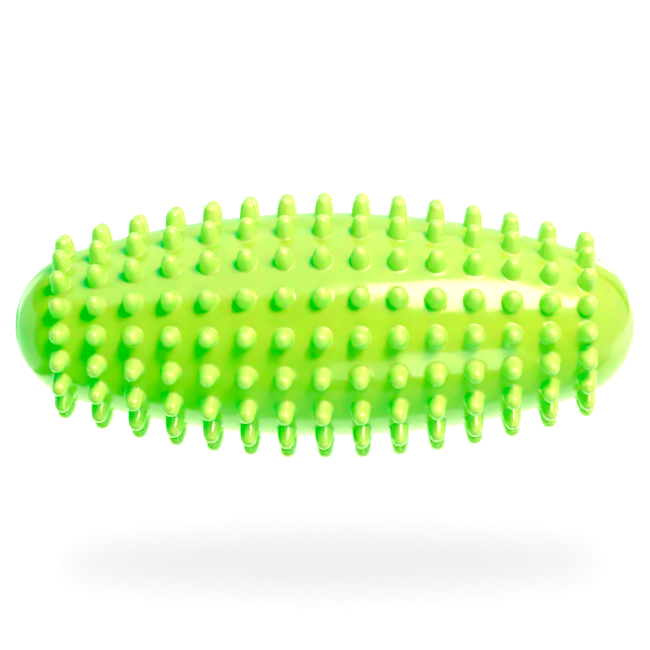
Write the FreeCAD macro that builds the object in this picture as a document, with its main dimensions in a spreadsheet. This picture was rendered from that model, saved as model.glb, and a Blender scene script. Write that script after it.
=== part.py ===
import FreeCAD, Part
import math
import os
import Sketcher

# Spiky massage roller: a hollow, barrel-shaped soft PVC skin with rings of solid nubs,
# closed at its left pole by a bonded valve seat and a pull-out stopper.
# Millimetres and degrees. The long axis is X, the origin is the roller's centre and +Z is up.
# One row of nubs points along +Y, so at rest two rows straddle the lowest line.

DIMENSIONS = {
    # skin
    "half_length": 84.0,        # centre to pole
    "belly_radius": 30.5,       # skin radius at mid length, between the nubs
    "barrel_radius": 230.0,     # radius of the long arc of the barrel
    "wall": 2.5,
    # nubs
    "ring_pitch": 10.0,
    "nubs_around": 18,
    "nub_height": 5.6,
    "nub_tip_radius": 2.1,
    "nub_shoulder": 3.95,       # height above the skin at which the tip's dome meets the side
    "nub_side_radius": 26.0,    # the side bulges a little between root and shoulder
    "nub_lean": 1.15,           # outward lean added at each ring away from the middle
    "nub_root_radius": 0.5,     # fillet between nub and skin
    "nub_sink": 1.2,            # how far a nub's foot reaches into the wall
    # valve hole in the skin; depths are measured inwards from the left pole
    "boss_root_depth": 2.0,
    "boss_depth": 5.0,
    "boss_radius": 7.5,
    "flange_depth": 1.6,
    "flange_radius": 6.0,
    "neck_radius": 4.0,
    "overcut": 1.0,             # how far a cut runs past the face that it opens
    # valve seat
    "lip_radius": 5.2,          # lip that holds the seat behind the boss
    "lip_depth": 6.8,
    "tail_radius": 3.6,
    "seat_depth": 10.0,
    "recess_depth": 1.1,        # recess that takes the stopper's head
    "recess_radius": 3.6,
    "mouth_radius": 2.3,        # bore of the seat at the recess
    "throat_radius": 2.0,       # bore of the seat at its inner end
    # stopper
    "head_gap": 0.1,
    "stem_gap": 0.05,
    "nose_length": 0.8,
    "nose_radius": 1.2,
    "groove_start": 3.2,        # depth of the first sealing groove
    "groove_width": 0.6,
    "groove_radius": 1.8,
    "groove_pitch": 1.8,
    "groove_count": 3,
    "notch_radius": 1.1,        # finger-nail notch in the head's rim
}
RINGS_EACH_SIDE = 7
ON_SKIN = 0.005                 # a point this near the plain skin counts as on it
SHORTEST_ROOT = 0.05            # every piece of a nub's root edge is longer than this
ROOT_SAMPLES = (0.1, 0.5, 0.9)  # where along an edge it is tested

doc = FreeCAD.newDocument("massage_roller")


class Size:
    """A number together with the sheet expression that drives it."""

    def __init__(self, value, expression):
        self.value = value
        self.expression = expression

    def __add__(self, other):
        return Size(self.value + other.value, f"({self.expression} + {other.expression})")

    def __sub__(self, other):
        return Size(self.value - other.value, f"({self.expression} - {other.expression})")

    def __mul__(self, other):
        return Size(self.value * other.value, f"({self.expression} * {other.expression})")

    def __truediv__(self, other):
        return Size(self.value / other.value, f"({self.expression} / {other.expression})")

    def squared(self):
        return Size(self.value**2, f"{self.expression}^2")

    def root(self):
        return Size(math.sqrt(self.value), f"sqrt({self.expression})")


def size(alias):
    return Size(DIMENSIONS[alias], f"Dimensions.{alias}")


def number(value):
    return Size(value, f"({value})")


def make_sheet():
    """Driving dimensions, one row each: the name, then the value under an alias."""
    sheet = doc.addObject("Spreadsheet::Sheet", "Dimensions")
    for row, (alias, value) in enumerate(DIMENSIONS.items(), start=1):
        sheet.set(f"A{row}", alias)
        sheet.set(f"B{row}", str(value))
        sheet.setAlias(f"B{row}", alias)
    doc.recompute()


def barrel_drop():
    """How far the barrel arc's centre lies beyond the long axis."""
    return size("barrel_radius") - size("belly_radius")


def end_radius():
    """Radius of the end sphere: tangent to the barrel arc and through the pole."""
    barrel = size("barrel_radius")
    half_length = size("half_length")
    squares = barrel.squared() - half_length.squared() - barrel_drop().squared()
    return squares / (number(2) * (barrel - half_length))


def end_centre():
    """Distance from the middle of the roller to the end sphere's centre."""
    return size("half_length") - end_radius()


# ---- sketches -------------------------------------------------------------------------------


def new_body(label):
    body = doc.addObject("PartDesign::Body", label)
    body.Label = label
    return body


def origin_feature(body, role):
    return next(feature for feature in body.Origin.OriginFeatures if feature.Role == role)


def new_sketch(body, name, plane="XZ_Plane"):
    sketch = body.newObject("Sketcher::SketchObject", name)
    sketch.AttachmentSupport = [(origin_feature(body, plane), "")]
    sketch.MapMode = "FlatFace"
    return sketch


def flat(across, up):
    return FreeCAD.Vector(across, up, 0)


def circle(centre, radius):
    return Part.Circle(centre, FreeCAD.Vector(0, 0, 1), radius)


def tie(sketch, kind, *where):
    """A constraint with no size of its own."""
    sketch.addConstraint(Sketcher.Constraint(kind, *where))


def bind(sketch, name, driver, kind, *where):
    """A constraint whose size comes from the sheet. Sketches store angles in radians."""
    value = math.radians(driver.value) if kind == "Angle" else driver.value
    index = sketch.addConstraint(Sketcher.Constraint(kind, *where, value))
    sketch.renameConstraint(index, name)
    sketch.setExpression(f"Constraints.{name}", driver.expression)


def barrel_profile(sketch):
    """Half section of the hollow barrel: on each face an end arc, the barrel arc and an end arc."""
    half_length = size("half_length")
    wall = size("wall")
    centre = end_centre().value
    drop = barrel_drop().value
    join_angle = math.atan2(drop, centre)
    faces = []
    for inset in (0.0, wall.value):
        end = end_radius().value - inset
        barrel = size("barrel_radius").value - inset
        left = Part.ArcOfCircle(circle(flat(-centre, 0), end), math.pi - join_angle, math.pi)
        middle = Part.ArcOfCircle(circle(flat(0, -drop), barrel), join_angle, math.pi - join_angle)
        right = Part.ArcOfCircle(circle(flat(centre, 0), end), 0, join_angle)
        faces.append([sketch.addGeometry(arc) for arc in (left, middle, right)])
    outer, inner = faces
    pole = half_length.value
    left_pole = sketch.addGeometry(Part.LineSegment(flat(-pole, 0), flat(wall.value - pole, 0)))
    right_pole = sketch.addGeometry(Part.LineSegment(flat(pole - wall.value, 0), flat(pole, 0)))

    for left, middle, right in faces:
        tie(sketch, "Tangent", left, 1, middle, 2)
        tie(sketch, "Tangent", middle, 1, right, 2)
    for outer_arc, inner_arc, sketch_axis in zip(outer, inner, (-1, -2, -1)):
        tie(sketch, "PointOnObject", outer_arc, 3, sketch_axis)
        tie(sketch, "Coincident", outer_arc, 3, inner_arc, 3)
    tie(sketch, "Coincident", left_pole, 1, outer[0], 2)
    tie(sketch, "Coincident", left_pole, 2, inner[0], 2)
    tie(sketch, "Coincident", right_pole, 1, inner[2], 1)
    tie(sketch, "Coincident", right_pole, 2, outer[2], 1)
    tie(sketch, "PointOnObject", left_pole, 1, -1)
    tie(sketch, "PointOnObject", right_pole, 2, -1)
    tie(sketch, "Horizontal", left_pole)
    tie(sketch, "Horizontal", right_pole)
    bind(sketch, "barrel_radius", size("barrel_radius"), "Radius", outer[1])
    bind(sketch, "barrel_drop", barrel_drop(), "DistanceY", outer[1], 3, -1, 1)
    bind(sketch, "left_end", half_length, "DistanceX", left_pole, 1, -1, 1)
    bind(sketch, "right_end", half_length, "DistanceX", -1, 1, right_pole, 2)
    bind(sketch, "wall", wall, "Distance", right_pole)


def nub_profile(sketch):
    """Half section of a nub about the sketch's vertical axis, its foot on the skin at the origin."""
    sink = size("nub_sink")
    height = size("nub_height")
    tip = size("nub_tip_radius")
    shoulder = size("nub_shoulder")
    bulge = size("nub_side_radius")
    tip_centre = flat(0, height.value - tip.value)
    slope = math.asin((shoulder.value - tip_centre.y) / tip.value)
    reach = tip.value - bulge.value
    side_centre = flat(reach * math.cos(slope), tip_centre.y + reach * math.sin(slope))
    foot_slope = math.asin((-sink.value - side_centre.y) / bulge.value)
    foot = flat(side_centre.x + bulge.value * math.cos(foot_slope), -sink.value)
    root = sketch.addGeometry(Part.LineSegment(flat(0, -sink.value), foot))
    side_circle = circle(side_centre, bulge.value)
    side = sketch.addGeometry(Part.ArcOfCircle(side_circle, foot_slope, slope))
    dome = sketch.addGeometry(Part.ArcOfCircle(circle(tip_centre, tip.value), slope, math.pi / 2))
    core = sketch.addGeometry(Part.LineSegment(flat(0, height.value), flat(0, -sink.value)))

    tie(sketch, "Coincident", root, 2, side, 1)
    tie(sketch, "Tangent", side, 2, dome, 1)
    tie(sketch, "Coincident", dome, 2, core, 1)
    tie(sketch, "Coincident", core, 2, root, 1)
    tie(sketch, "Horizontal", root)
    tie(sketch, "PointOnObject", core, 1, -2)
    tie(sketch, "PointOnObject", core, 2, -2)
    tie(sketch, "PointOnObject", dome, 3, -2)
    bind(sketch, "sink", sink, "DistanceY", core, 2, -1, 1)
    bind(sketch, "height", height, "DistanceY", -1, 1, core, 1)
    bind(sketch, "tip_radius", tip, "Radius", dome)
    bind(sketch, "side_radius", bulge, "Radius", side)
    bind(sketch, "shoulder", shoulder, "DistanceY", -1, 1, side, 2)


def valve_profile(sketch, points, domed=None):
    """Closed half section about the long axis, through (depth, radius) points at the left pole.

    A radius of None lies on the axis. Edge number `domed` follows the end sphere towards the
    pole, and the depths of its two points are None.
    """
    sphere = end_radius()
    centre = end_centre()
    half_length = size("half_length")
    places = []
    for depth, radius in points:
        reach = radius.value if radius else 0.0
        if depth:
            across = depth.value - half_length.value
        else:
            across = -centre.value - math.sqrt(sphere.value**2 - reach**2)
        places.append(flat(across, reach))

    edges = []
    for order, start in enumerate(places):
        finish = places[(order + 1) % len(places)]
        if order == domed:
            start_angle = math.pi - math.asin(start.y / sphere.value)
            finish_angle = math.pi - math.asin(finish.y / sphere.value)
            dome = circle(flat(-centre.value, 0), sphere.value)
            edge = sketch.addGeometry(Part.ArcOfCircle(dome, start_angle, finish_angle))
            tie(sketch, "PointOnObject", edge, 3, -1)
            bind(sketch, "dome_centre", centre, "DistanceX", edge, 3, -1, 1)
            bind(sketch, "dome_radius", sphere, "Radius", edge)
        else:
            edge = sketch.addGeometry(Part.LineSegment(start, finish))
        edges.append(edge)

    for order, (depth, radius) in enumerate(points):
        tie(sketch, "Coincident", edges[order - 1], 2, edges[order], 1)
        if depth:
            bind(sketch, f"depth_{order}", half_length - depth, "DistanceX", edges[order], 1, -1, 1)
        if radius:
            bind(sketch, f"radius_{order}", radius, "DistanceY", -1, 1, edges[order], 1)
        else:
            tie(sketch, "PointOnObject", edges[order], 1, -1)


# ---- features -------------------------------------------------------------------------------


def revolve(body, sketch, name, kind="PartDesign::Revolution", axis="H_Axis"):
    """A full turn of the sketch about one of its own axes, added to or cut from the body."""
    feature = body.newObject(kind, name)
    feature.Profile = sketch
    feature.ReferenceAxis = (sketch, [axis])
    feature.Angle = 360.0
    doc.recompute()
    return feature


def pattern(body, feature, kind, name, **settings):
    """Repeat a feature; the body's tip moves to the pattern, which is what makes it count."""
    repeat = body.newObject(kind, name)
    repeat.Originals = [feature]
    for key, value in settings.items():
        if isinstance(value, Size):
            repeat.setExpression(key, value.expression)
        else:
            setattr(repeat, key, value)
    body.Tip = repeat
    doc.recompute()


def require_cut(body, volume_before, name):
    """A cut that points away from the solid removes nothing and reports no error."""
    if body.Shape.Volume >= volume_before:
        raise RuntimeError(f"{name} cuts nothing")


def add_nub_ring(body, ring):
    """One nub standing on this ring's circle, then the pattern that carries it round the roller."""
    axial = size("ring_pitch") * number(ring)
    height = (size("barrel_radius").squared() - axial.squared()).root() - barrel_drop()
    lean = size("nub_lean") * number(-ring)
    name = f"ring_{ring + RINGS_EACH_SIDE + 1:02d}"
    sketch = new_sketch(body, f"{name}_profile", "XY_Plane")
    nub_profile(sketch)
    sketch.setExpression("AttachmentOffset.Base.x", axial.expression)
    sketch.setExpression("AttachmentOffset.Base.y", height.expression)
    sketch.setExpression("AttachmentOffset.Rotation.Yaw", lean.expression)
    nub = revolve(body, sketch, f"{name}_nub", axis="V_Axis")
    pattern(body, nub, "PartDesign::PolarPattern", f"{name}_pattern", Angle=360.0,
            Axis=(origin_feature(body, "X_Axis"), [""]), Occurrences=size("nubs_around"))


def off_skin(point):
    """Distance of a point from the plain skin, positive outside."""
    radial = math.hypot(point.y, point.z)
    centre = end_centre().value
    drop = barrel_drop().value
    if abs(point.x) * drop > centre * (radial + drop):
        return math.hypot(abs(point.x) - centre, radial) - end_radius().value
    return math.hypot(point.x, radial + drop) - size("barrel_radius").value


def is_nub_root(edge):
    """True for an edge on the plain skin that is neither the skin's own seam nor a circle on it."""
    box = edge.BoundBox
    if box.XLength < SHORTEST_ROOT or box.YLength < SHORTEST_ROOT:
        return False
    first, last = edge.ParameterRange
    points = [edge.valueAt(first + (last - first) * share) for share in ROOT_SAMPLES]
    return all(abs(off_skin(point)) < ON_SKIN for point in points)


def round_nub_roots(body):
    """A small fillet where every nub runs into the skin."""
    nubs = body.Tip
    roots = []
    for i, edge in enumerate(nubs.Shape.Edges, start=1):
        if is_nub_root(edge):
            roots.append(f"Edge{i}")
    fillet = body.newObject("PartDesign::Fillet", "nub_root_fillet")
    fillet.Base = (nubs, roots)
    fillet.setExpression("Radius", size("nub_root_radius").expression)
    body.Tip = fillet
    doc.recompute()


# ---- sub-parts ------------------------------------------------------------------------------


def make_skin():
    """The moulded skin: hollow barrel, boss and stepped hole for the valve, rings of solid nubs."""
    body = new_body("skin")
    barrel_sketch = new_sketch(body, "barrel_profile")
    barrel_profile(barrel_sketch)
    revolve(body, barrel_sketch, "hollow_barrel")

    boss_sketch = new_sketch(body, "boss_profile")
    valve_profile(boss_sketch, [
        (size("boss_root_depth"), None),
        (size("boss_root_depth"), size("boss_radius")),
        (size("boss_depth"), size("boss_radius")),
        (size("boss_depth"), None),
    ])
    revolve(body, boss_sketch, "valve_boss")

    outside = size("overcut") * number(-1)
    inside = size("boss_depth") + size("overcut")
    hole_sketch = new_sketch(body, "hole_profile")
    valve_profile(hole_sketch, [
        (outside, None),
        (outside, size("flange_radius")),
        (size("flange_depth"), size("flange_radius")),
        (size("flange_depth"), size("neck_radius")),
        (inside, size("neck_radius")),
        (inside, None),
    ])
    volume_before = body.Shape.Volume
    revolve(body, hole_sketch, "valve_hole", "PartDesign::Groove")
    require_cut(body, volume_before, "valve_hole")

    for ring in range(-RINGS_EACH_SIDE, RINGS_EACH_SIDE + 1):
        add_nub_ring(body, ring)
    round_nub_roots(body)


def make_valve_seat():
    """Soft bush gripped by the skin's hole: flange outside, lip behind the boss, tapered bore."""
    body = new_body("valve_seat")
    sketch = new_sketch(body, "seat_profile")
    valve_profile(sketch, [
        (None, size("flange_radius")),
        (None, size("recess_radius")),
        (size("recess_depth"), size("recess_radius")),
        (size("recess_depth"), size("mouth_radius")),
        (size("seat_depth"), size("throat_radius")),
        (size("seat_depth"), size("tail_radius")),
        (size("lip_depth"), size("tail_radius")),
        (size("boss_depth"), size("lip_radius")),
        (size("boss_depth"), size("neck_radius")),
        (size("flange_depth"), size("neck_radius")),
        (size("flange_depth"), size("flange_radius")),
    ], domed=0)
    revolve(body, sketch, "seat_bush")


def make_valve_plug():
    """Pull-out stopper: a flush head with a nail notch, and a grooved stem as tapered as the bore."""
    body = new_body("valve_plug")
    head_radius = size("recess_radius") - size("head_gap")
    head_depth = size("recess_depth") - size("stem_gap")
    nose_depth = size("seat_depth") + size("nose_length")
    sketch = new_sketch(body, "stopper_profile")
    valve_profile(sketch, [
        (None, head_radius),
        (None, None),
        (nose_depth, None),
        (nose_depth, size("nose_radius")),
        (size("seat_depth"), size("throat_radius") - size("stem_gap")),
        (head_depth, size("mouth_radius") - size("stem_gap")),
        (head_depth, head_radius),
    ], domed=0)
    revolve(body, sketch, "stopper")

    groove_end = size("groove_start") + size("groove_width")
    groove_span = size("groove_pitch") * (size("groove_count") - number(1))
    groove_sketch = new_sketch(body, "groove_profile")
    valve_profile(groove_sketch, [
        (size("groove_start"), size("groove_radius")),
        (size("groove_start"), size("mouth_radius")),
        (groove_end, size("mouth_radius")),
        (groove_end, size("groove_radius")),
    ])
    volume_before = body.Shape.Volume
    groove = revolve(body, groove_sketch, "sealing_groove", "PartDesign::Groove")
    require_cut(body, volume_before, "sealing_groove")
    pattern(body, groove, "PartDesign::LinearPattern", "sealing_grooves", Length=groove_span,
            Direction=(origin_feature(body, "X_Axis"), [""]), Occurrences=size("groove_count"))

    notch_sketch = new_sketch(body, "notch_profile", "YZ_Plane")
    notch_plane = size("half_length") * number(-1)
    notch_sketch.setExpression("AttachmentOffset.Base.z", notch_plane.expression)
    notch_circle = circle(flat(0, head_radius.value), size("notch_radius").value)
    notch = notch_sketch.addGeometry(notch_circle)
    tie(notch_sketch, "PointOnObject", notch, 3, -2)
    bind(notch_sketch, "notch_height", head_radius, "DistanceY", -1, 1, notch, 3)
    bind(notch_sketch, "notch_radius", size("notch_radius"), "Radius", notch)
    volume_before = body.Shape.Volume
    pocket = body.newObject("PartDesign::Pocket", "nail_notch")
    pocket.Profile = notch_sketch
    pocket.Reversed = True
    pocket.setExpression("Length", size("recess_depth").expression)
    doc.recompute()
    require_cut(body, volume_before, "nail_notch")


def check_document(bodies):
    """Stop before anything is written if a feature failed or a sub-part isn't one sound solid."""
    for feature in doc.Objects:
        if "Invalid" in feature.State or "Error" in feature.State:
            raise RuntimeError(f"{feature.Name} failed: {feature.State}")
    for body in bodies:
        shape = body.Shape
        if shape.isNull() or not shape.isValid() or len(shape.Solids) != 1:
            raise RuntimeError(f"{body.Label} is not one valid solid")
        print(body.Label, round(shape.Volume, 2), "mm3,", len(shape.Faces), "faces,", shape.BoundBox)


make_sheet()
make_skin()
make_valve_seat()
make_valve_plug()
doc.recompute()
sub_parts = [feature for feature in doc.Objects if feature.TypeId == "PartDesign::Body"]
check_document(sub_parts)
os.makedirs("parts", exist_ok=True)
for sub_part in sub_parts:
    sub_part.Shape.exportStep(f"parts/{sub_part.Label}.step")
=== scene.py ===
import math

import bmesh
import bpy
import numpy as np
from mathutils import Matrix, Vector


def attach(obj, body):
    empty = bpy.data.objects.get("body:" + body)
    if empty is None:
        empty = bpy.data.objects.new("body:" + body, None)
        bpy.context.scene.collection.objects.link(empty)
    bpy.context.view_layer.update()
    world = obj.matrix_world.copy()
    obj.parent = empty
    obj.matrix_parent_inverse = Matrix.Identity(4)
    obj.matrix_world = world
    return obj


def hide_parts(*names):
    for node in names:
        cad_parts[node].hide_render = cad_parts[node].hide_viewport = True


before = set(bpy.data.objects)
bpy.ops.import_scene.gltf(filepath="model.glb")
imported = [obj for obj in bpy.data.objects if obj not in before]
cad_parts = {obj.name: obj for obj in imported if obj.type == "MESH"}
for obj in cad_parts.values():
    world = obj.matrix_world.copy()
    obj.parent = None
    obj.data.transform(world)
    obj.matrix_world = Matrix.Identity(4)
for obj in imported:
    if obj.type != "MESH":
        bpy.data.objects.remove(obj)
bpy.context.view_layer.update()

# ---- driving sizes of the roller, in metres and degrees, as in the CAD -----------------------

HALF_LENGTH = 0.084
BELLY_RADIUS = 0.0305
BARREL_RADIUS = 0.230
WALL = 0.0025
RING_PITCH = 0.010
RINGS_EACH_SIDE = 7
NUBS_AROUND = 18
NUB_HEIGHT = 0.0056
NUB_TIP_RADIUS = 0.0021
NUB_SHOULDER = 0.00395
NUB_SIDE_RADIUS = 0.026
NUB_LEAN = 1.15
BOSS_DEPTH = 0.005
BOSS_RADIUS = 0.0075
FLANGE_DEPTH = 0.0016
FLANGE_RADIUS = 0.006
NECK_RADIUS = 0.004

# Where the barrel arc meets the ball-shaped ends.
BARREL_DROP = BARREL_RADIUS - BELLY_RADIUS
END_RADIUS = ((BARREL_RADIUS ** 2 - HALF_LENGTH ** 2 - BARREL_DROP ** 2)
              / (2 * (BARREL_RADIUS - HALF_LENGTH)))
END_CENTRE = HALF_LENGTH - END_RADIUS
JOIN_ANGLE = math.atan2(END_CENTRE, BARREL_DROP)
JOIN_X = BARREL_RADIUS * math.sin(JOIN_ANGLE)

# ---- how finely and how softly the skin is modelled ------------------------------------------

AROUND_NUB = 24
FILLET_REACH = 0.00065
DOME_STEPS = 5
DOME_ROWS = 14
INNER_ROWS = 34
EDGE_ROUND, ROUND_STEPS = 0.00022, 3
LEAN_WOBBLE = 0.7
HEIGHT_WOBBLE = 0.00012
MERGE_DISTANCE = 2e-6
CHANCE_SEED = 18
SKIN_STEPS, ROOT_STEPS = 4, 8
SKIN_SHARES = (0.40, 0.76)
FILLET_SHARES = (0.28, 0.52, 0.76)
FILLET_LOOPS = len(FILLET_SHARES) + 1
FIRST_NUB_LOOP = len(SKIN_SHARES) + 1
DOME_REACH = 0.985
DOME_CROWDING = 0.93

# ---- soft PVC --------------------------------------------------------------------------------

CLOUD_SCALE, CLOUD_DETAIL = 45.0, 3.0
GLOSS_SCALE, GLOSS_DETAIL = 160.0, 4.0
GLOSS_LOW, GLOSS_HIGH = 0.75, 1.3
WAVE_SCALE, WAVE_DETAIL = 70.0, 2.0
WAVE_STRENGTH, WAVE_DEPTH = 0.25, 0.0004
GRAIN_SCALE, GRAIN_DETAIL = 1400.0, 3.0
GRAIN_STRENGTH, GRAIN_DEPTH = 0.06, 0.00005
NOISE_LOW, NOISE_HIGH = 0.3, 0.7
SCATTER = (0.12, 1.0, 0.08)
PVC_IOR = 1.5
# Painted glow: a uniform green emission on the PVC stands in for light scattered through the
# translucent plastic.
PAINTED_GLOW_STRENGTH = 0.43
PAINTED_GLOW_GREEN = (0.0, 1.0, 0.0, 1.0)

# ---- camera, floor and levels ----------------------------------------------------------------

CAMERA_AZIMUTH = 1.85
CAMERA_ELEVATION = 26.4
CAMERA_ROLL = -1.1
CAMERA_DISTANCE = 0.9
CAMERA_LENS = 184.0
SENSOR_WIDTH = 36.0
CLIP_NEAR, CLIP_FAR = 0.01, 50.0
FLOOR_DROP = 0.0742
FLOOR_SIZE = 14.0
FLOOR_GLOW = 0.855
FLOOR_TONES = (0.056, 0.052)
FLOOR_MOTTLE, FLOOR_DETAIL = 3.0, 2.0
WORLD_GLOW = 0.03
BLACK_LEVEL = (0.21, 0.0, 0.035)


# ---- small helpers ---------------------------------------------------------------------------


def direction(azimuth, elevation):
    """Unit vector from the roller: azimuth 0 is towards the front (-Y), positive to the right."""
    a, e = math.radians(azimuth), math.radians(elevation)
    return Vector((math.sin(a) * math.cos(e), -math.cos(a) * math.cos(e), math.sin(e)))


def aim(obj, target):
    """Turn an object's -Z axis to a point."""
    obj.rotation_euler = (Vector(target) - obj.location).to_track_quat("-Z", "Y").to_euler()


def off_skin(points):
    """Signed distance of points from the plain skin, and the outward unit normals there."""
    x = points[..., 0]
    radial = np.hypot(points[..., 1], points[..., 2])
    past = np.abs(x) > JOIN_X
    centre_x = np.where(past, np.sign(x) * END_CENTRE, 0.0)
    centre_r = np.where(past, 0.0, -BARREL_DROP)
    sweep = np.where(past, END_RADIUS, BARREL_RADIUS)
    along, out = x - centre_x, radial - centre_r
    reach = np.hypot(along, out)
    normal = np.empty_like(points)
    normal[..., 0] = along / reach
    spread = out / reach / np.maximum(radial, 1e-9)
    normal[..., 1] = points[..., 1] * spread
    normal[..., 2] = points[..., 2] * spread
    return reach - sweep, normal


def onto_skin(points):
    """Points moved along the normals until they lie on the plain skin."""
    for _ in range(SKIN_STEPS):
        distance, normal = off_skin(points)
        points = points - distance[..., None] * normal
    return points


def skin_radius(x):
    """Radius of the plain skin at an axial position on the barrel or its ends."""
    if abs(x) > JOIN_X:
        return math.sqrt(max(END_RADIUS ** 2 - (abs(x) - END_CENTRE) ** 2, 0.0))
    return math.sqrt(BARREL_RADIUS ** 2 - x * x) - BARREL_DROP


def turned(points, angle):
    """Points turned about the long axis."""
    c, s = math.cos(angle), math.sin(angle)
    y, z = points[..., 1], points[..., 2]
    return np.stack([points[..., 0], y * c - z * s, y * s + z * c], axis=-1)


# ---- the skin --------------------------------------------------------------------------------


def cell_border(ring):
    """Points round the patch of skin that belongs to a nub of this ring, on the +Y row."""
    half = math.pi / NUBS_AROUND
    low, high = (ring - 0.5) * RING_PITCH, (ring + 0.5) * RING_PITCH
    side = AROUND_NUB // 4
    middle, reach = ring * RING_PITCH, (high - low) / 2
    steps = np.linspace(-1.0, 1.0, side + 1)[:-1]
    corners = []
    for step in steps:
        corners.append((high, half * step))
    for step in steps:
        corners.append((middle - reach * step, half))
    for step in steps:
        corners.append((low, -half * step))
    for step in steps:
        corners.append((middle + reach * step, -half))
    points = []
    for x, angle in corners:
        radius = skin_radius(x)
        points.append((x, radius * math.cos(angle), radius * math.sin(angle)))
    return np.roll(np.array(points), -(side // 2), axis=0)


def nub_frame(ring, lean_x, lean_y):
    """Foot and axis of a nub on the +Y row, and the unit spokes round that axis."""
    foot = np.array([ring * RING_PITCH, skin_radius(ring * RING_PITCH), 0.0])
    lean = math.radians(NUB_LEAN * ring + lean_x)
    roll = math.radians(lean_y)
    axis = np.array([math.sin(lean), math.cos(lean) * math.cos(roll),
                     math.cos(lean) * math.sin(roll)])
    across = np.cross(axis, [0.0, 0.0, 1.0])
    across /= np.linalg.norm(across)
    if across[0] < 0:
        across = -across
    up = np.cross(across, axis)
    if up[2] < 0:
        up = -up
    angles = np.arange(AROUND_NUB) * 2 * math.pi / AROUND_NUB
    spokes = np.outer(np.cos(angles), across) + np.outer(np.sin(angles), up)
    return foot, axis, spokes


def nub_loops(ring, lean_x, lean_y, shorter):
    """Loops of points from a cell's border over the root fillet and the side, and the tip."""
    foot, axis, spokes = nub_frame(ring, lean_x, lean_y)
    height = NUB_HEIGHT - shorter
    tip_level = height - NUB_TIP_RADIUS
    shoulder_level = NUB_SHOULDER - shorter
    slope = math.asin((shoulder_level - tip_level) / NUB_TIP_RADIUS)
    reach = NUB_TIP_RADIUS - NUB_SIDE_RADIUS
    side_middle, side_level_0 = reach * math.cos(slope), tip_level + reach * math.sin(slope)

    def side_radius(level):
        return side_middle + np.sqrt(NUB_SIDE_RADIUS ** 2 - (level - side_level_0) ** 2)

    def place(level, radius):
        return foot + level[:, None] * axis + radius[:, None] * spokes

    # The height on the nub's own axis at which its side meets the skin, all the way round.
    level = np.zeros(AROUND_NUB)
    for _ in range(ROOT_STEPS):
        level = level - off_skin(place(level, side_radius(level)))[0]
    root = place(level, side_radius(level))

    # The root fillet runs from a ring on the skin to a ring on the side.
    outer = side_radius(level) + FILLET_REACH
    skin_level = level.copy()
    for _ in range(ROOT_STEPS):
        skin_level = skin_level - off_skin(place(skin_level, outer))[0]
    ring_on_skin = place(skin_level, outer)
    side_level = level + FILLET_REACH
    ring_on_side = place(side_level, side_radius(side_level))

    border = cell_border(ring)
    loops = [border]
    for share in SKIN_SHARES:
        loops.append(onto_skin(border * (1 - share) + ring_on_skin * share))
    loops.append(ring_on_skin)
    for t in FILLET_SHARES:
        loops.append((1 - t) ** 2 * ring_on_skin + 2 * t * (1 - t) * root + t * t * ring_on_side)
    loops.append(ring_on_side)
    middle_level = (side_level + shoulder_level) / 2
    loops.append(place(middle_level, side_radius(middle_level)))
    for step in range(DOME_STEPS):
        turn = slope + (math.pi / 2 - slope) * step / DOME_STEPS
        radius = NUB_TIP_RADIUS * math.cos(turn)
        rise = tip_level + NUB_TIP_RADIUS * math.sin(turn)
        loops.append(place(np.full(AROUND_NUB, rise), np.full(AROUND_NUB, radius)))
    return loops, foot + height * axis


def profile_ring(x, radius, count, start):
    """A circle of points about the long axis."""
    angles = start + np.arange(count) * 2 * math.pi / count
    return np.stack([np.full(count, x), radius * np.cos(angles), radius * np.sin(angles)], axis=-1)


class Shell:
    """Collects loops of points, and the faces between them, for one closed mesh."""

    def __init__(self):
        self.points, self.faces, self.rise = [], [], []
        self.count = 0

    def add(self, points, rise=0.0):
        first = self.count
        self.points.append(points)
        self.rise.extend([rise] * len(points))
        self.count += len(points)
        return first

    def bridge(self, first, second, size, flip=False):
        for j in range(size):
            k = (j + 1) % size
            quad = (first + j, first + k, second + k, second + j)
            self.faces.append(quad[::-1] if flip else quad)

    def cap(self, first, tip, size, flip=False):
        for j in range(size):
            k = (j + 1) % size
            tri = (first + j, first + k, tip)
            self.faces.append(tri[::-1] if flip else tri)


def add_nubs(shell, chance):
    """Every nub with the patch of skin round it; nub_rise goes from 0 to 1 over its fillet and
    masks the painted light on the nub tips.
    """
    for ring in range(-RINGS_EACH_SIDE, RINGS_EACH_SIDE + 1):
        for row in range(NUBS_AROUND):
            lean_x, lean_y = chance.uniform(-LEAN_WOBBLE, LEAN_WOBBLE, 2)
            shorter = chance.uniform(0.0, HEIGHT_WOBBLE)
            loops, tip = nub_loops(ring, lean_x, lean_y, shorter)
            angle = row * 2 * math.pi / NUBS_AROUND
            last = None
            for i, loop in enumerate(loops):
                rise = min(1.0, max(0.0, (i - FIRST_NUB_LOOP) / FILLET_LOOPS))
                first = shell.add(turned(loop, angle), rise)
                if last is not None:
                    shell.bridge(last, first, AROUND_NUB)
                last = first
            top = shell.add(turned(tip[None, :], angle), 1.0)
            shell.cap(last, top, AROUND_NUB)


def rounded(corners, reach):
    """A profile with its sharp corners rounded; corners are (x, radius, round this one)."""
    profile = []
    for i, (x, radius, soften) in enumerate(corners):
        here = np.array([x, radius])
        if not soften:
            profile.append(here)
            continue
        before = np.array(corners[i - 1][:2]) - here
        after = np.array(corners[i + 1][:2]) - here
        start = here + before / np.linalg.norm(before) * reach
        end = here + after / np.linalg.norm(after) * reach
        for t in np.linspace(0, 1, ROUND_STEPS + 1):
            profile.append((1 - t) ** 2 * start + 2 * t * (1 - t) * here + t * t * end)
    return profile


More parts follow.
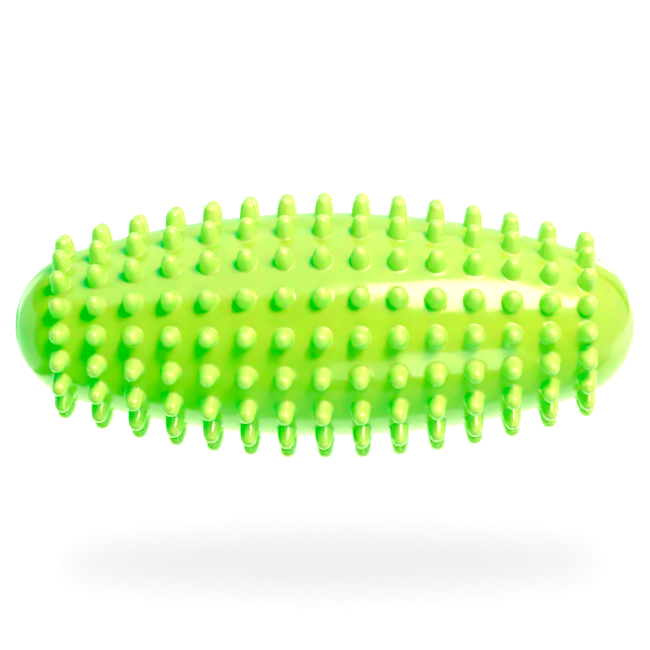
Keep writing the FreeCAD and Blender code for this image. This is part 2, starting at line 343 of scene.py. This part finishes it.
def valve_hole(edge_x):
    """Corners of the stepped hole and its inner boss, from the dome's edge to the inner wall."""
    flange_x, boss_end = FLANGE_DEPTH - HALF_LENGTH, BOSS_DEPTH - HALF_LENGTH
    boss_wall_x = -END_CENTRE - math.sqrt((END_RADIUS - WALL) ** 2 - BOSS_RADIUS ** 2)
    return [
        (edge_x, FLANGE_RADIUS, True),
        (flange_x, FLANGE_RADIUS, False),
        (flange_x, NECK_RADIUS, False),
        (boss_end, NECK_RADIUS, True),
        (boss_end, BOSS_RADIUS, True),
        (boss_wall_x, BOSS_RADIUS, False),
    ]


def inner_wall(boss_wall_x):
    """Points of the inner wall from the foot of the boss to just short of the right pole."""
    inner_end, inner_barrel = END_RADIUS - WALL, BARREL_RADIUS - WALL
    wall = []
    for step in range(1, INNER_ROWS):
        share = (1 - math.cos(math.pi * step / INNER_ROWS)) / 2
        x = boss_wall_x + (HALF_LENGTH - WALL - boss_wall_x) * share
        if abs(x) > JOIN_X * inner_barrel / BARREL_RADIUS:
            radius = math.sqrt(max(inner_end ** 2 - (abs(x) - END_CENTRE) ** 2, 0.0))
        else:
            radius = math.sqrt(inner_barrel ** 2 - x * x) - BARREL_DROP
        wall.append((x, radius, False))
    return wall


def add_ends_and_inside(shell):
    """The plain domes, the stepped hole for the valve in the left pole, and the inner wall."""
    count = NUBS_AROUND * AROUND_NUB // 4
    start = -math.pi / NUBS_AROUND
    border_x = (RINGS_EACH_SIDE + 0.5) * RING_PITCH
    border_turn = math.asin((border_x - END_CENTRE) / END_RADIUS)

    def revolve(profile, flip):
        last = None
        for x, radius in profile:
            first = shell.add(profile_ring(x, radius, count, start))
            if last is not None:
                shell.bridge(last, first, count, flip)
            last = first
        return last

    shares = np.linspace(0, DOME_REACH, DOME_ROWS) ** DOME_CROWDING
    turns = border_turn + (math.pi / 2 - border_turn) * shares
    right = [(END_CENTRE + END_RADIUS * math.sin(t), END_RADIUS * math.cos(t)) for t in turns]
    right[0] = (border_x, skin_radius(border_x))
    last = revolve(right, True)
    shell.cap(last, shell.add(np.array([[HALF_LENGTH, 0.0, 0.0]])), count, True)

    edge_turn = math.acos(FLANGE_RADIUS / END_RADIUS)
    turns = np.linspace(border_turn, edge_turn, DOME_ROWS - 2)[:-1]
    left = [(-END_CENTRE - END_RADIUS * math.sin(t), END_RADIUS * math.cos(t), False)
            for t in turns]
    left[0] = (-border_x, skin_radius(border_x), False)
    edge_x = -END_CENTRE - END_RADIUS * math.sin(edge_turn)
    hole = valve_hole(edge_x)
    inside = inner_wall(hole[-1][0])
    last = revolve(rounded(left + hole + inside, EDGE_ROUND), False)
    shell.cap(last, shell.add(np.array([[HALF_LENGTH - WALL, 0.0, 0.0]])), count, False)


def make_skin():
    """The moulded skin as one closed mesh: nubs, root fillets, domes, valve hole, inner wall."""
    shell = Shell()
    add_nubs(shell, np.random.default_rng(CHANCE_SEED))
    add_ends_and_inside(shell)
    mesh = bpy.data.meshes.new("skin_shell")
    mesh.from_pydata(np.concatenate(shell.points).tolist(), [], shell.faces)
    rise = mesh.attributes.new("nub_rise", "FLOAT", "POINT")
    rise.data.foreach_set("value", np.array(shell.rise, np.float32))
    work = bmesh.new()
    work.from_mesh(mesh)
    bmesh.ops.remove_doubles(work, verts=work.verts, dist=MERGE_DISTANCE)
    bmesh.ops.recalc_face_normals(work, faces=work.faces)
    open_edges = [edge for edge in work.edges if not edge.is_manifold]
    if open_edges:
        raise RuntimeError(f"the skin has {len(open_edges)} open edges")
    work.to_mesh(mesh)
    work.free()
    mesh.shade_smooth()
    obj = bpy.data.objects.new("skin_shell", mesh)
    bpy.context.scene.collection.objects.link(obj)
    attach(obj, "roller")
    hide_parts("skin")
    return obj


# ---- materials -------------------------------------------------------------------------------


class Nodes:
    """A material's node tree with short calls to add and link nodes."""

    def __init__(self, name):
        self.material = bpy.data.materials.new(name)
        self.material.use_nodes = True
        self.tree = self.material.node_tree
        self.tree.nodes.clear()

    def add(self, kind, **settings):
        node = self.tree.nodes.new(kind)
        for key, value in settings.items():
            setattr(node, key, value)
        return node

    def link(self, source, target):
        self.tree.links.new(source, target)

    def noise(self, where, scale, detail):
        node = self.add("ShaderNodeTexNoise")
        self.link(where, node.inputs["Vector"])
        node.inputs["Scale"].default_value = scale
        node.inputs["Detail"].default_value = detail
        return node.outputs["Fac"]

    def spread(self, value, low, high):
        """Maps the middle of a noise's values onto a range, clamped at both ends."""
        node = self.add("ShaderNodeMapRange")
        self.link(value, node.inputs["Value"])
        node.inputs["From Min"].default_value = NOISE_LOW
        node.inputs["From Max"].default_value = NOISE_HIGH
        node.inputs["To Min"].default_value = low
        node.inputs["To Max"].default_value = high
        return node.outputs["Result"]

    def bump(self, height, strength, depth, over=None):
        """Raises the surface by a height value, on top of another bump if one is given."""
        node = self.add("ShaderNodeBump")
        node.inputs["Strength"].default_value = strength
        node.inputs["Distance"].default_value = depth
        self.link(height, node.inputs["Height"])
        if over is not None:
            self.link(over, node.inputs["Normal"])
        return node.outputs["Normal"]

    def finished(self, shader):
        """The material, with this shader as its surface."""
        out = self.add("ShaderNodeOutputMaterial")
        self.link(shader.outputs["BSDF"], out.inputs["Surface"])
        return self.material

    def blend(self, factor, first, second):
        """Mixes two colours; each is a socket or three numbers."""
        node = self.add("ShaderNodeMix", data_type="RGBA")
        self.link(factor, node.inputs["Factor"])
        for value, socket in ((first, node.inputs["A"]), (second, node.inputs["B"])):
            if isinstance(value, bpy.types.NodeSocket):
                self.link(value, socket)
            else:
                socket.default_value = (*value, 1.0)
        return node.outputs["Result"]


def soft_pvc(name, colour, deep, depth, gloss, painted_nub_light=None):
    """Glossy soft PVC that clouds from colour to deep, glows with a painted green emission in
    place of light scattered inside it, and, if asked, has its nubs painted lighter towards the
    tips as painted light.
    """
    n = Nodes(name)
    place = n.add("ShaderNodeTexCoord").outputs["Object"]
    clouds = n.spread(n.noise(place, CLOUD_SCALE, CLOUD_DETAIL), 0.0, 1.0)
    colour_out = n.blend(clouds, deep, colour)
    if painted_nub_light is not None:
        # Painted light: the nubs fade to a paler colour towards their tips, standing in for the
        # light that they catch and let through.
        rise = n.add("ShaderNodeAttribute", attribute_name="nub_rise").outputs["Fac"]
        colour_out = n.blend(rise, colour_out, painted_nub_light)

    shader = n.add("ShaderNodeBsdfPrincipled")
    n.link(colour_out, shader.inputs["Base Color"])
    shader.inputs["Subsurface Weight"].default_value = 1.0
    shader.inputs["Subsurface Radius"].default_value = SCATTER
    shader.inputs["Subsurface Scale"].default_value = depth
    shader.inputs["IOR"].default_value = PVC_IOR
    # Painted glow: uniform green emission standing in for light scattered through the PVC.
    shader.inputs["Emission Color"].default_value = PAINTED_GLOW_GREEN
    shader.inputs["Emission Strength"].default_value = PAINTED_GLOW_STRENGTH
    uneven = n.noise(place, GLOSS_SCALE, GLOSS_DETAIL)
    n.link(n.spread(uneven, gloss * GLOSS_LOW, gloss * GLOSS_HIGH), shader.inputs["Roughness"])
    waves = n.bump(n.noise(place, WAVE_SCALE, WAVE_DETAIL), WAVE_STRENGTH, WAVE_DEPTH)
    grain = n.bump(n.noise(place, GRAIN_SCALE, GRAIN_DETAIL), GRAIN_STRENGTH, GRAIN_DEPTH, waves)
    n.link(grain, shader.inputs["Normal"])
    return n.finished(shader)


def skin_pvc():
    # The nubs' paler tip colour is painted light, not a paler plastic.
    return soft_pvc("skin_pvc_lime", colour=(0.475, 0.335, 0.062), deep=(0.435, 0.31, 0.052),
                    depth=0.004, gloss=0.14, painted_nub_light=(0.545, 0.38, 0.14))


def seat_pvc():
    return soft_pvc("seat_pvc_lime", colour=(0.40, 0.30, 0.05), deep=(0.36, 0.27, 0.04),
                    depth=0.003, gloss=0.22)


def stopper_pvc():
    return soft_pvc("stopper_pvc_lime", colour=(0.58, 0.40, 0.16), deep=(0.52, 0.37, 0.13),
                    depth=0.003, gloss=0.2)


def paint(obj, material):
    obj.data.materials.clear()
    obj.data.materials.append(material)


def before_levels(grey):
    """The colour that the black levels of the view turn into this grey."""
    return [black + (1 - black) * grey for black in BLACK_LEVEL]


def floor_white():
    """Pale floor that mostly glows by itself, so only a soft trace of a shadow shows on it."""
    n = Nodes("floor_white")
    place = n.add("ShaderNodeTexCoord").outputs["Object"]
    light, dark = [[(1 - black) * tone for black in BLACK_LEVEL] for tone in FLOOR_TONES]
    mottle = n.spread(n.noise(place, FLOOR_MOTTLE, FLOOR_DETAIL), 0.0, 1.0)
    tone = n.blend(mottle, dark, light)
    shader = n.add("ShaderNodeBsdfPrincipled")
    n.link(tone, shader.inputs["Base Color"])
    shader.inputs["Roughness"].default_value = 1.0
    shader.inputs["Specular IOR Level"].default_value = 0.0
    shader.inputs["Emission Color"].default_value = (*before_levels(FLOOR_GLOW), 1.0)
    shader.inputs["Emission Strength"].default_value = 1.0
    return n.finished(shader)


# ---- studio ----------------------------------------------------------------------------------


def make_floor():
    half = FLOOR_SIZE / 2
    mesh = bpy.data.meshes.new("studio_floor")
    corners = [(-half, -half, 0), (half, -half, 0), (half, half, 0), (-half, half, 0)]
    mesh.from_pydata(corners, [], [(0, 1, 2, 3)])
    floor = bpy.data.objects.new("studio_floor", mesh)
    floor.location.z = -FLOOR_DROP
    bpy.context.scene.collection.objects.link(floor)
    paint(floor, floor_white())
    floor.visible_glossy = False
    floor.visible_diffuse = False
    return floor


def softbox(name, location, lit, size, radiance, target=(0, 0, 0), shine=True, colour=True):
    """An area light aimed at a point, set by the brightness of its face."""
    data = bpy.data.lights.new(name, "AREA")
    data.shape = "RECTANGLE"
    data.size, data.size_y = size
    data.energy = radiance * math.pi * size[0] * size[1]
    light = bpy.data.objects.new(name, data)
    light.location = location
    bpy.context.scene.collection.objects.link(light)
    aim(light, target)
    light.visible_camera = False
    light.visible_glossy = shine
    light.visible_diffuse = colour
    light.light_linking.receiver_collection = lit


def make_camera():
    data = bpy.data.cameras.new("camera")
    data.lens = CAMERA_LENS
    data.sensor_width = SENSOR_WIDTH
    data.clip_start, data.clip_end = CLIP_NEAR, CLIP_FAR
    camera = bpy.data.objects.new("camera", data)
    camera.location = direction(CAMERA_AZIMUTH, CAMERA_ELEVATION) * CAMERA_DISTANCE
    bpy.context.scene.collection.objects.link(camera)
    aim(camera, (0, 0, 0))
    camera.rotation_euler.rotate_axis("Z", math.radians(CAMERA_ROLL))
    bpy.context.scene.camera = camera


def make_world():
    world = bpy.data.worlds.new("studio")
    world.use_nodes = True
    background = world.node_tree.nodes["Background"]
    background.inputs["Color"].default_value = (1.0, 1.0, 1.0, 1.0)
    background.inputs["Strength"].default_value = WORLD_GLOW
    bpy.context.scene.world = world


def collection_of(name, objects):
    group = bpy.data.collections.new(name)
    for obj in objects:
        group.objects.link(obj)
    return group


def light_roller(lit):
    """Softboxes: without shine one only colours the roller, without colour it only reflects."""
    softbox("key", direction(39, 57.5) * 1.6, lit, (0.48, 0.40), 56.0, shine=False)
    softbox("key_card", direction(39, 54.5) * 1.6, lit, (0.86, 0.82), 15.0, colour=False)
    softbox("right_fill", direction(75, 30) * 0.8, lit, (0.4, 0.4), 3.2, shine=False)
    softbox("front_fill", direction(-5, -25) * 1.0, lit, (1.2, 1.0), 1.4, shine=False)
    softbox("left_fill", direction(-95, 0) * 0.8, lit, (0.6, 0.6), 2.3, shine=False)
    softbox("front_card", direction(20, -16) * 0.8, lit, (0.25, 0.35), 5.0)
    softbox("front_card_dim", direction(6, -21) * 0.8, lit, (0.24, 0.26), 2.0)
    softbox("right_card", direction(85, 8) * 1.0, lit, (1.6, 1.6), 1.3, colour=False)
    softbox("left_card", direction(-118, -15) * 1.0, lit, (1.15, 0.95), 1.3, colour=False)
    softbox("back_strip", direction(154, 4) * 1.2, lit, (0.10, 0.25), 20.0, colour=False)
    softbox("back_wall", (0, 1.2, 0.2), lit, (2.4, 1.3), 1.0, target=(0, 0, 0.2))
    softbox("ceiling", (0.1, 0.35, 1.0), lit, (1.9, 2.0), 2.4, target=(0.1, 0.35, 0),
            colour=False)
    softbox("table", (0.12, 0.16, -0.075), lit, (0.5, 0.38), 2.1, target=(0.12, 0.16, 0))
    softbox("table_front", (0.14, -0.065, -0.075), lit, (0.36, 0.07), 0.65,
            target=(0.14, -0.065, 0), colour=False)


def set_levels():
    """Black levels in the view give the pigment the depth that it has in the photo."""
    view = bpy.context.scene.view_settings
    view.view_transform = "Standard"
    view.look = "None"
    view.use_curve_mapping = True
    view.curve_mapping.black_level = BLACK_LEVEL
    view.curve_mapping.update()


def make_studio(pieces):
    floor = make_floor()
    light_roller(collection_of("lit_roller", pieces))
    softbox("floor_light", (0, 0, 0.62), collection_of("lit_floor", [floor]), (0.34, 0.60), 62.0)
    make_world()
    make_camera()
    set_levels()


# ---- build -----------------------------------------------------------------------------------


skin = make_skin()
seat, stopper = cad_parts["valve_seat"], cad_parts["valve_plug"]
paint(skin, skin_pvc())
paint(seat, seat_pvc())
paint(stopper, stopper_pvc())
make_studio([skin, seat, stopper])
